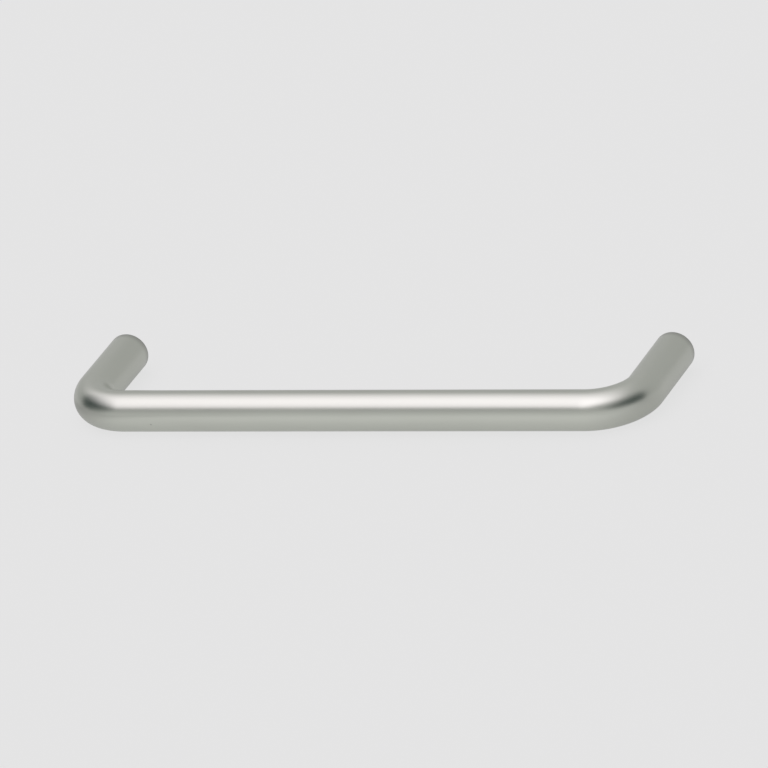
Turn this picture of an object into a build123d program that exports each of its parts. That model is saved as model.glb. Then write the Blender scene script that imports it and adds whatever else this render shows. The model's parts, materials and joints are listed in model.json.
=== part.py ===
"""Wire pull handle: one round rod bent into a flat U, with a tapped screw hole in each leg end.

The origin is midway between the two screw holes, on the face of the door or drawer.
X runs along the bar, Y points into the door, so the bar stands off towards -Y, and
Z is up on a handle that is fixed across a drawer front. Sizes are in millimetres.
"""

from build123d import *

import os
from math import radians, tan

# Rod: its section, its bends and its two cut ends
rod_diameter = 9.0
hole_spacing = 128.0
projection = 35.0
inner_bend_radius = 6.0
end_edge_radius = 0.6

# Screw holes, drilled to be tapped M4 for screws that come through the door from behind
tap_drill_diameter = 3.3
tapped_depth = 14.0
drill_point_angle = 118.0
mouth_diameter = 4.2
mouth_angle = 120.0

# Sizes that follow from the ones above
rod_radius = rod_diameter / 2
bend_radius = inner_bend_radius + rod_radius
bar_offset = projection - rod_radius
tap_drill_radius = tap_drill_diameter / 2
drill_point_height = tap_drill_radius / tan(radians(drill_point_angle / 2))

# Middle line of the rod: leg end, corner, corner, leg end
left_leg_end = (-hole_spacing / 2, 0)
left_corner = (-hole_spacing / 2, -bar_offset)
right_corner = (hole_spacing / 2, -bar_offset)
right_leg_end = (hole_spacing / 2, 0)

# Planes on the two leg ends, facing the door
end_planes = [Plane(origin=end, z_dir=(0, 1, 0)) for end in (left_leg_end, right_leg_end)]

with BuildPart() as handle:
    # The rod runs down one leg, round a bend, along the bar, round a bend and up the other leg
    with BuildLine():
        FilletPolyline(left_leg_end, left_corner, right_corner, right_leg_end, radius=bend_radius)
    with BuildSketch(end_planes[0]):
        Circle(rod_radius)
    sweep()

    # The cut ends lie flat on the door, with their outer edge rounded over
    cut_ends = handle.faces().group_by(Axis.Y)[-1]
    fillet(cut_ends.edges(), radius=end_edge_radius)

    # Each end has a blind hole with a countersunk mouth, and the cone that the drill left below
    with Locations(*end_planes):
        CounterSinkHole(
            radius=tap_drill_radius,
            counter_sink_radius=mouth_diameter / 2,
            depth=tapped_depth,
            counter_sink_angle=mouth_angle,
        )
    with Locations(*[plane.offset(-tapped_depth) for plane in end_planes]):
        Cone(
            bottom_radius=0,
            top_radius=tap_drill_radius,
            height=drill_point_height,
            align=(Align.CENTER, Align.CENTER, Align.MAX),
            mode=Mode.SUBTRACT,
        )

handle.part.label = "handle"
os.makedirs("parts", exist_ok=True)
export_step(handle.part, "parts/handle.step")
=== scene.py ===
"""Looks of the wire pull handle: its finished surface, the pale studio that it lies in, and the camera.

Lengths are in metres, in the part's own frame: X along the bar, Y into the door, Z up. The handle
lies flat on a pale floor, and the camera looks down on its bar, with the two legs running away.
Azimuths are in degrees, with 0 in front of the bar and 90 at its right.
"""

import json
from math import cos, pi, radians, sin, tan

import bpy
import numpy as np
from mathutils import Matrix, Vector


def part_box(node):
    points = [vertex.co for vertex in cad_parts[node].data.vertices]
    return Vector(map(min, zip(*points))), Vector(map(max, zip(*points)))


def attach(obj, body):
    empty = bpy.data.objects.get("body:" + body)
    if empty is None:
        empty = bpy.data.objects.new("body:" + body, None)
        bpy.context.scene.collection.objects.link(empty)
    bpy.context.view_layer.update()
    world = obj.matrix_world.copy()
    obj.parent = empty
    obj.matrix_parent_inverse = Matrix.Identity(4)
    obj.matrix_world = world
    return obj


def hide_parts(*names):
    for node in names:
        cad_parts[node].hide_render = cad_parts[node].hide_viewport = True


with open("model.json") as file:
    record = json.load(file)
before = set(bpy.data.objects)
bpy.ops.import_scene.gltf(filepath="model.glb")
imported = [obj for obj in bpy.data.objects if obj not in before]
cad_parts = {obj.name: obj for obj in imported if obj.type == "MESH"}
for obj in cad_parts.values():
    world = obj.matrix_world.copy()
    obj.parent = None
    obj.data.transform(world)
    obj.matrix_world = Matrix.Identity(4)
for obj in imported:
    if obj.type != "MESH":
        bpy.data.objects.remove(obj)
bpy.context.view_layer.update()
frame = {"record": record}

MM = 0.001

# Rod and screw holes, read from the frame to a tenth of a millimetre
handle_low, handle_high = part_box("handle")
screw_holes = next(mount for mount in frame["record"]["mounts"] if mount["name"] == "screw_holes")
rod_radius = round(handle_high.z - handle_low.z, 4) / 2
projection = round(handle_high.y - handle_low.y, 4)
hole_spacing = screw_holes["dims"]["spacing_x_mm"] * MM
drill_radius = screw_holes["dims"]["hole_r_mm"] * MM

# Bends of the rod, and the rounded edge of its two ends
inner_bend_radius = 6.0 * MM
end_edge_radius = 0.6 * MM

# Depth of the drilling, its mouth, and the M4 thread that the tap cuts in it
drilled_depth = 14.0 * MM
drill_point_angle = radians(118.0)
mouth_radius = 2.1 * MM
mouth_angle = radians(120.0)
thread_pitch = 0.7 * MM
thread_flank_angle = radians(60.0)
thread_root_radius = 2.0 * MM
thread_root_width = thread_pitch / 8
threaded_depth = 12.6 * MM
tap_lead = 2.0 * MM

# A pinhole in the plating, low on the bar: its place along, across and up the rod before it was bent
pinhole_place = (44.0 * MM, 4.33 * MM, -1.24 * MM)

# Sizes that follow from the ones above
bend_radius = inner_bend_radius + rod_radius
leg_length = projection - rod_radius - bend_radius
bend_length = bend_radius * pi / 2
bar_length = hole_spacing - 2 * bend_radius
rod_length = 2 * (leg_length + bend_length) + bar_length
end_flat_radius = rod_radius - end_edge_radius
point_depth = drilled_depth + drill_radius / tan(drill_point_angle / 2)

# Fineness of the mesh
vertices_round = 96
rings_per_pitch = 12
hole_ring_count = round(drilled_depth / thread_pitch * rings_per_pitch) + 1
edge_rings = 6
bend_rings = 45
straight_step = 2.0 * MM
sharp_edge_angle = radians(28.0)

# Camera: its angles in degrees, its distances, and the bar's width and middle in pixels of the photograph
photo_width = 768
camera_azimuth = 23.86
camera_elevation = 23.15
camera_roll = 10.01
camera_distance = 2.876
camera_far_limit = 20.0
bar_width_in_photo = 41.67
bar_middle_in_photo = (353.2, 410.6)

# Plain backdrop that the camera sees behind the handle, and the floor's reach to each side
backdrop_tone = (0.784, 0.784, 0.784)
floor_half_width = 8.0

# Softbox overhead: the azimuth that its front faces, and the leans between which each edge's light fades
softbox_azimuth = 43.6
softbox_fades = {
    "front": (0.28, 1.18),
    "right": (-0.32, 0.60),
    "back": (-0.72, 2.40),
    "left": (1.12, 1.47),
}
softbox_light = (2.02, 1.89, 2.04)

# Dark cards at the left and the right, placed by angles in degrees
dark_cards = (
    dict(azimuth=-100.2, elevation=14.9, front_reach=61.5, back_reach=3.0, half_height=27.0, tilt=-29.2),
    dict(azimuth=97.3, elevation=19.1, front_reach=61.8, back_reach=3.0, half_height=20.3, tilt=-14.4),
)
card_tone = (0.020, 0.042, 0.038)
card_fade = 2.0


# Directions and node helpers


def heading(azimuth, elevation=0.0):
    """The direction that an azimuth and an elevation in degrees point to."""
    azimuth = radians(azimuth)
    elevation = radians(elevation)
    return Vector((sin(azimuth) * cos(elevation), -cos(azimuth) * cos(elevation), sin(elevation)))


def feed(tree, socket, value):
    """Links an output to a socket, or sets the socket's own value."""
    if isinstance(value, bpy.types.NodeSocket):
        tree.links.new(value, socket)
    elif socket.type == "RGBA":
        socket.default_value = (*value, 1.0)
    else:
        socket.default_value = value


def node_output(tree, kind, inputs, output=0, **settings):
    """Adds a node with these settings and inputs, and gives one of its outputs."""
    node = tree.nodes.new(kind)
    for name, setting in settings.items():
        setattr(node, name, setting)
    for key, value in inputs.items():
        feed(tree, node.inputs[key], value)
    return node.outputs[output]


def calc(tree, operation, *values):
    """The result of a Math node on outputs and numbers."""
    return node_output(tree, "ShaderNodeMath", dict(enumerate(values)), operation=operation)


def dot(tree, vector, direction):
    """How far a vector reaches along a direction."""
    inputs = {0: vector, 1: direction}
    return node_output(tree, "ShaderNodeVectorMath", inputs, "Value", operation="DOT_PRODUCT")


def step(tree, value, start, end, low=0.0, high=1.0):
    """A smooth step of a value, from low at start to high at end."""
    inputs = {"Value": value, "From Min": start, "From Max": end, "To Min": low, "To Max": high}
    return node_output(tree, "ShaderNodeMapRange", inputs, interpolation_type="SMOOTHSTEP")


def blend(tree, share, first, second):
    """A mix of two colours."""
    return node_output(tree, "ShaderNodeMix", {0: share, 6: first, 7: second}, 2, data_type="RGBA")


def noise(tree, place, size, detail=2.0):
    """Smooth noise about 0.5, with features of this size along each of the three axes of place."""
    scaled = node_output(tree, "ShaderNodeVectorMath", {0: place, 1: size}, operation="DIVIDE")
    return node_output(tree, "ShaderNodeTexNoise", {"Vector": scaled, "Scale": 1.0, "Detail": detail})


# Shape of the handle


def hole_radius(depth, turn):
    """Radius of a tapped hole's wall, at a depth below the leg end and at angles about the hole."""
    thread_depth = thread_root_radius - drill_radius
    flank_width = thread_depth * tan(thread_flank_angle / 2)
    from_groove = np.abs((depth / thread_pitch + turn / (2 * pi)) % 1.0 - 0.5) * thread_pitch
    cut = np.clip((thread_root_width / 2 + flank_width - from_groove) / flank_width, 0.0, 1.0)
    lead = np.clip((threaded_depth - depth) / tap_lead, 0.0, 1.0)
    mouth = mouth_radius - depth * tan(mouth_angle / 2)
    return np.maximum(drill_radius + thread_depth * cut * lead, mouth)


def hole_rings(turn):
    """Depth and radii of each ring of a screw hole's wall, from its foot up to the rim of its mouth."""
    depths = np.linspace(drilled_depth, 0.0, hole_ring_count)
    return [(depth, hole_radius(depth, turn)) for depth in depths]


def edge_round_rings():
    """Depth and radius of each ring of a leg end's rounded edge, from its flat to the rod's side."""
    angles = np.linspace(0.0, pi / 2, edge_rings + 1)
    depths = end_edge_radius * (1 - np.cos(angles))
    radii = end_flat_radius + end_edge_radius * np.sin(angles)
    return list(zip(depths, radii))


def rod_stations():
    """Lengths along the rod of the rings between its two rounded ends."""
    bend_start = leg_length
    bend_end = leg_length + bend_length
    leg = np.linspace(end_edge_radius, bend_start, round(leg_length / straight_step) + 1)[1:]
    bend = np.linspace(bend_start, bend_end, bend_rings + 1)[1:]
    near_half = np.concatenate([leg, bend])
    bar = np.linspace(bend_end, rod_length - bend_end, round(bar_length / straight_step) + 1)[1:-1]
    return np.concatenate([near_half, bar, rod_length - near_half[::-1]])


def handle_rings(angles):
    """Length along the rod and radii of each ring, from the foot of one screw hole to the other's."""
    near_end = hole_rings(angles) + edge_round_rings()
    far_end = hole_rings(-angles) + edge_round_rings()
    rod = [(along, rod_radius) for along in rod_stations()]
    return near_end + rod + [(rod_length - depth, radii) for depth, radii in reversed(far_end)]


def rod_line(along):
    """A point of the rod's middle line, at a length along it from the left leg end, and the turn so far."""
    from_end = min(along, rod_length - along)
    x = -hole_spacing / 2
    y = -from_end
    turn = 0.0
    if from_end > leg_length:
        turn = min((from_end - leg_length) / bend_radius, pi / 2)
        past_bend = max(from_end - leg_length - bend_length, 0.0)
        x += bend_radius * (1 - cos(turn)) + past_bend
        y = -leg_length - bend_radius * sin(turn)
    if along > rod_length / 2:
        x = -x
        turn = pi - turn
    return x, y, turn


def strip_materials(ring_count):
    """Material of each strip between two rings, and of the fans at the two drill points.

    The numbers follow the order in which the handle gets its materials.
    """
    rod, end, bore = range(3)
    near_end = [bore] * (hole_ring_count - 1) + [end] * (edge_rings + 1)
    rod_strips = ring_count - 1 - 2 * len(near_end)
    return near_end + [rod] * rod_strips + near_end[::-1] + [bore] * 2


def handle_mesh():
    """One closed skin of rings: up one screw hole, over its leg end, along the rod and down the other hole.

    The attribute rod_place keeps each vertex's place on the rod as it was before it was bent.
    """
    angles = np.arange(vertices_round) * 2 * pi / vertices_round
    rings = handle_rings(angles)
    vertices = []
    places = []
    for along, radii in rings:
        x, y, turn = rod_line(along)
        across = radii * np.cos(angles)
        rise = radii * np.sin(angles)
        vertices.append(np.stack([x - across * cos(turn), y - across * sin(turn), rise], axis=1))
        places.append(np.stack([np.full_like(angles, along), across, rise], axis=1))
    for along in (point_depth, rod_length - point_depth):
        x, y, _ = rod_line(along)
        vertices.append(np.array([[x, y, 0.0]]))
        places.append(np.array([[along, 0.0, 0.0]]))

    index = np.arange(len(rings) * vertices_round).reshape(len(rings), vertices_round)
    following = np.roll(index, -1, axis=1)
    walls = np.stack([index[:-1], index[1:], following[1:], following[:-1]], axis=-1).reshape(-1, 4)
    near_point = index.size
    near_fan = [(near_point, first, second) for first, second in zip(index[0], following[0])]
    far_fan = [(first, near_point + 1, second) for first, second in zip(index[-1], following[-1])]

    mesh = bpy.data.meshes.new("bent_rod")
    mesh.from_pydata(np.concatenate(vertices).tolist(), [], walls.tolist() + near_fan + far_fan)
    place = mesh.attributes.new("rod_place", "FLOAT_VECTOR", "POINT")
    place.data.foreach_set("vector", np.concatenate(places).ravel())
    materials = np.repeat(strip_materials(len(rings)), vertices_round)
    mesh.polygons.foreach_set("material_index", materials)
    mesh.shade_smooth()
    mesh.set_sharp_from_angle(angle=sharp_edge_angle)
    return mesh


# Materials


def new_material(name):
    """A material with a metal shader, and the place of each point on the straight rod."""
    material = bpy.data.materials.new(name)
    material.use_nodes = True
    tree = material.node_tree
    shader = tree.nodes["Principled BSDF"]
    shader.inputs["Metallic"].default_value = 1.0
    place = node_output(tree, "ShaderNodeAttribute", {}, "Vector", attribute_name="rod_place")
    return material, tree, shader, place


def depth_from_end(tree, place):
    """Length along the rod from the nearer of its two ends."""
    along = dot(tree, place, (1.0, 0.0, 0.0))
    return calc(tree, "MINIMUM", along, calc(tree, "SUBTRACT", rod_length, along))


def distance_from_axis(tree, place):
    """Distance from the rod's middle line."""
    inputs = {0: place, 1: (0.0, 1.0, 1.0)}
    flat = node_output(tree, "ShaderNodeVectorMath", inputs, operation="MULTIPLY")
    return node_output(tree, "ShaderNodeVectorMath", {0: flat}, "Value", operation="LENGTH")


def bump(tree, shader, height, distance):
    """Raises a metal's surface by a height, in which 1 stands for this distance."""
    inputs = {"Height": height, "Strength": 1.0, "Distance": distance}
    feed(tree, shader.inputs["Normal"], node_output(tree, "ShaderNodeBump", inputs))


def satin_nickel():
    """Nickel plate with a soft sheen, a fine grain along the rod, painted shade at its ends and one
    pinhole.
    """
    plate_tones = (0.582, 0.602, 0.545), (0.602, 0.622, 0.563)
    painted_end_shade = (0.24, 0.24, 0.22)
    pinhole_tone = (0.20, 0.20, 0.19)
    grain_height = 0.001 * MM

    material, tree, shader, place = new_material("satin_nickel_plate")
    cloud = noise(tree, place, (24 * MM, 5 * MM, 5 * MM), detail=3.0)
    grain = noise(tree, place, (0.5 * MM, 0.16 * MM, 0.16 * MM), detail=3.0)
    hairlines = noise(tree, place, (12 * MM, 0.2 * MM, 0.2 * MM), detail=3.0)
    # Painted shade: the plate darkens towards each leg end, from 0.3 mm to 2.6 mm in from it
    near_end = step(tree, depth_from_end(tree, place), 0.3 * MM, 2.6 * MM, low=0.5, high=0.0)
    inputs = {0: place, 1: pinhole_place}
    from_pinhole = node_output(tree, "ShaderNodeVectorMath", inputs, "Value", operation="DISTANCE")
    in_pinhole = step(tree, from_pinhole, 0.08 * MM, 0.30 * MM, low=0.45, high=0.0)

    tone = blend(tree, step(tree, cloud, 0.3, 0.7), *plate_tones)
    tone = blend(tree, near_end, tone, painted_end_shade)
    tone = blend(tree, in_pinhole, tone, pinhole_tone)
    feed(tree, shader.inputs["Base Color"], tone)
    feed(tree, shader.inputs["Roughness"], step(tree, cloud, 0.25, 0.75, low=0.29, high=0.315))
    bump(tree, shader, calc(tree, "ADD", grain, hairlines), grain_height)
    return material


def cut_end():
    """The faced end of a leg: a greyer metal, with fine rings left by the tool and painted shade on its
    outer edge.
    """
    metal_tones = (0.44, 0.44, 0.41), (0.54, 0.54, 0.50)
    painted_edge_shade = (0.34, 0.35, 0.33)
    ring_spacing = 0.16 * MM
    ring_waver = 0.1 * MM
    ring_height = 0.001 * MM

    material, tree, shader, place = new_material("faced_leg_end")
    radius = distance_from_axis(tree, place)
    smear = noise(tree, place, (3 * MM, 1.2 * MM, 1.2 * MM), detail=4.0)
    wavering = calc(tree, "MULTIPLY_ADD", smear, ring_waver, radius)
    tool_rings = calc(tree, "SINE", calc(tree, "MULTIPLY", wavering, 2 * pi / ring_spacing))

    tone = blend(tree, step(tree, smear, 0.3, 0.7), *metal_tones)
    # Painted shade: the rounded outer edge of the end is darkened
    tone = blend(tree, step(tree, radius, end_flat_radius, rod_radius), tone, painted_edge_shade)
    feed(tree, shader.inputs["Base Color"], tone)
    feed(tree, shader.inputs["Roughness"], step(tree, smear, 0.25, 0.75, low=0.28, high=0.38))
    bump(tree, shader, tool_rings, ring_height)
    return material


def tapped_bore():
    """The threaded hole: bare metal under smears of cutting oil, with painted shade that deepens down the
    hole.
    """
    metal_tones = (0.33, 0.31, 0.28), (0.43, 0.42, 0.40)
    hole_shade_tone = (0.14, 0.13, 0.12)
    scratch_height = 0.004 * MM

    material, tree, shader, place = new_material("tapped_bore")
    oil = noise(tree, place, (2.5 * MM, 1.5 * MM, 1.5 * MM), detail=4.0)
    scratches = noise(tree, place, (0.05 * MM, 0.6 * MM, 0.6 * MM))
    # Painted shade: the wall darkens with depth down the hole
    painted_hole_shade = step(tree, depth_from_end(tree, place), 0.0, drilled_depth, low=0.0, high=0.6)

    tone = blend(tree, step(tree, oil, 0.3, 0.7), *metal_tones)
    tone = blend(tree, painted_hole_shade, tone, hole_shade_tone)
    feed(tree, shader.inputs["Base Color"], tone)
    feed(tree, shader.inputs["Roughness"], step(tree, oil, 0.3, 0.7, low=0.24, high=0.42))
    bump(tree, shader, scratches, scratch_height)
    return material


def floor_paper():
    """Pale paper, plain to the camera and, where the metal shows it, less lit behind and beside the bar."""
    paper_colour = (0.9, 0.9, 0.9)
    tone_behind = (0.59, 0.59, 0.59)
    glow_to_camera = 0.92
    glow_to_metal = 0.8
    front_fade = (-47 * MM, -26 * MM)
    back_fade = (-25 * MM, -5 * MM)
    left_fade = (-87 * MM, -50 * MM)
    right_fade = (50 * MM, 87 * MM)

    material = bpy.data.materials.new("floor_paper")
    material.use_nodes = True
    tree = material.node_tree
    light_path = tree.nodes.new("ShaderNodeLightPath").outputs
    in_metal = light_path["Is Glossy Ray"]
    seen = calc(tree, "ADD", light_path["Is Camera Ray"], light_path["Is Transmission Ray"])
    share = calc(tree, "MULTIPLY", in_metal, glow_to_metal)
    share = calc(tree, "MULTIPLY_ADD", seen, glow_to_camera, share)

    place = node_output(tree, "ShaderNodeNewGeometry", {}, "Position")
    right = dot(tree, place, (1.0, 0.0, 0.0))
    back = dot(tree, place, (0.0, 1.0, 0.0))
    in_front = step(tree, back, *front_fade, low=0.85, high=0.63)
    left_shade = step(tree, right, *left_fade, low=0.566, high=1.0)
    right_shade = step(tree, right, *right_fade, low=1.0, high=0.807)
    in_front = calc(tree, "MULTIPLY", calc(tree, "MULTIPLY", in_front, left_shade), right_shade)
    reflected = blend(tree, step(tree, back, *back_fade), in_front, tone_behind)
    tone = blend(tree, in_metal, backdrop_tone, reflected)

    paper = node_output(tree, "ShaderNodeBsdfDiffuse", {"Color": paper_colour})
    glow = node_output(tree, "ShaderNodeEmission", {"Color": tone, "Strength": 1.0})
    surface = node_output(tree, "ShaderNodeMixShader", {0: share, 1: paper, 2: glow})
    feed(tree, tree.nodes["Material Output"].inputs["Surface"], surface)
    return material


# Studio and camera


def soft_card(tree, direction, azimuth, elevation, front_reach, back_reach, half_height, tilt):
    """How far a direction falls within a dark card, fading from its middle to card_fade times its reach.

    The card is placed by angles in degrees. It may reach further towards the front than towards the back,
    and a tilt above 0 raises its back end.
    """
    side = 1.0 if azimuth > 0 else -1.0
    axis = heading(azimuth, elevation)
    level = heading(azimuth + 90)
    turned = Matrix.Rotation(radians(tilt) * side, 3, axis)
    backwards = turned @ level * side
    upwards = turned @ axis.cross(level)
    ahead = dot(tree, direction, axis)
    back = dot(tree, direction, backwards / tan(radians(back_reach)))
    front = dot(tree, direction, -backwards / tan(radians(front_reach)))
    across = calc(tree, "MAXIMUM", back, front)
    above = dot(tree, direction, upwards / tan(radians(half_height)))
    spread = calc(tree, "MULTIPLY_ADD", above, above, calc(tree, "MULTIPLY", across, across))
    spread = calc(tree, "DIVIDE", calc(tree, "SQRT", spread), ahead)
    inside = step(tree, spread, 0.0, card_fade, low=1.0, high=0.0)
    return calc(tree, "MULTIPLY", inside, calc(tree, "GREATER_THAN", ahead, 0.0))


def studio():
    """A pale room, a long softbox overhead from front right to back left, and a dark card at each side.

    The camera sees the plain backdrop in their place. A lean is how far a direction reaches sideways for
    each unit that it rises.
    """
    back_wall_tone = (0.545, 0.545, 0.545)

    world = bpy.data.worlds.new("studio")
    world.use_nodes = True
    tree = world.node_tree
    direction = node_output(tree, "ShaderNodeTexCoord", {}, "Generated")
    height = dot(tree, direction, (0.0, 0.0, 1.0))
    back = dot(tree, direction, (0.0, 1.0, 0.0))

    softbox = calc(tree, "GREATER_THAN", height, 0.0)
    for quarter_turns, fade in enumerate(softbox_fades.values()):
        facing = heading(softbox_azimuth + 90 * quarter_turns)
        lean = calc(tree, "DIVIDE", dot(tree, direction, facing), height)
        softbox = calc(tree, "MULTIPLY", softbox, step(tree, lean, *fade, low=1.0, high=0.0))
    cards = calc(tree, "MAXIMUM", *[soft_card(tree, direction, **card) for card in dark_cards])

    front_wall_tone = step(tree, height, 0.0, 0.5, low=0.73, high=0.485)
    light = blend(tree, step(tree, back, -0.4, 0.4), front_wall_tone, back_wall_tone)
    light = blend(tree, softbox, light, softbox_light)
    light = blend(tree, cards, light, card_tone)
    seen = node_output(tree, "ShaderNodeLightPath", {}, "Is Camera Ray")
    light = blend(tree, seen, light, backdrop_tone)
    feed(tree, tree.nodes["Background"].inputs["Color"], light)
    bpy.context.scene.world = world


def floor():
    """A wide floor that the handle lies on."""
    half = floor_half_width
    corners = [(-half, -half), (half, -half), (half, half), (-half, half)]
    mesh = bpy.data.meshes.new("floor")
    mesh.from_pydata([(x, y, -rod_radius) for x, y in corners], [], [(0, 1, 2, 3)])
    mesh.materials.append(floor_paper())
    piece = bpy.data.objects.new("floor", mesh)
    bpy.context.scene.collection.objects.link(piece)


def camera():
    """A long lens aimed so that the bar has its width and place in the photograph."""
    away = -heading(camera_azimuth, camera_elevation)
    right = Matrix.Rotation(radians(camera_roll), 3, away) @ heading(camera_azimuth + 90)
    up = right.cross(away)

    pixel = 2 * rod_radius / bar_width_in_photo
    bar_middle = Vector((0.0, rod_radius - projection, 0.0))
    aim = bar_middle + right * (photo_width / 2 - bar_middle_in_photo[0]) * pixel
    aim += up * (bar_middle_in_photo[1] - photo_width / 2) * pixel

    lens = bpy.data.cameras.new("camera")
    lens.lens = lens.sensor_width * camera_distance / (photo_width * pixel)
    lens.clip_end = camera_far_limit
    piece = bpy.data.objects.new("camera", lens)
    axes = Matrix((right, up, -away)).transposed().to_4x4()
    piece.matrix_world = Matrix.Translation(aim - away * camera_distance) @ axes
    bpy.context.scene.collection.objects.link(piece)
    bpy.context.scene.camera = piece


def handle():
    """The bent rod with its finish, in place of the plain solid."""
    mesh = handle_mesh()
    for material in (satin_nickel(), cut_end(), tapped_bore()):
        mesh.materials.append(material)
    piece = bpy.data.objects.new("bent_rod", mesh)
    bpy.context.scene.collection.objects.link(piece)
    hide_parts("handle")
    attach(piece, "root")


handle()
floor()
studio()
camera()
bpy.context.scene.view_settings.view_transform = "Standard"
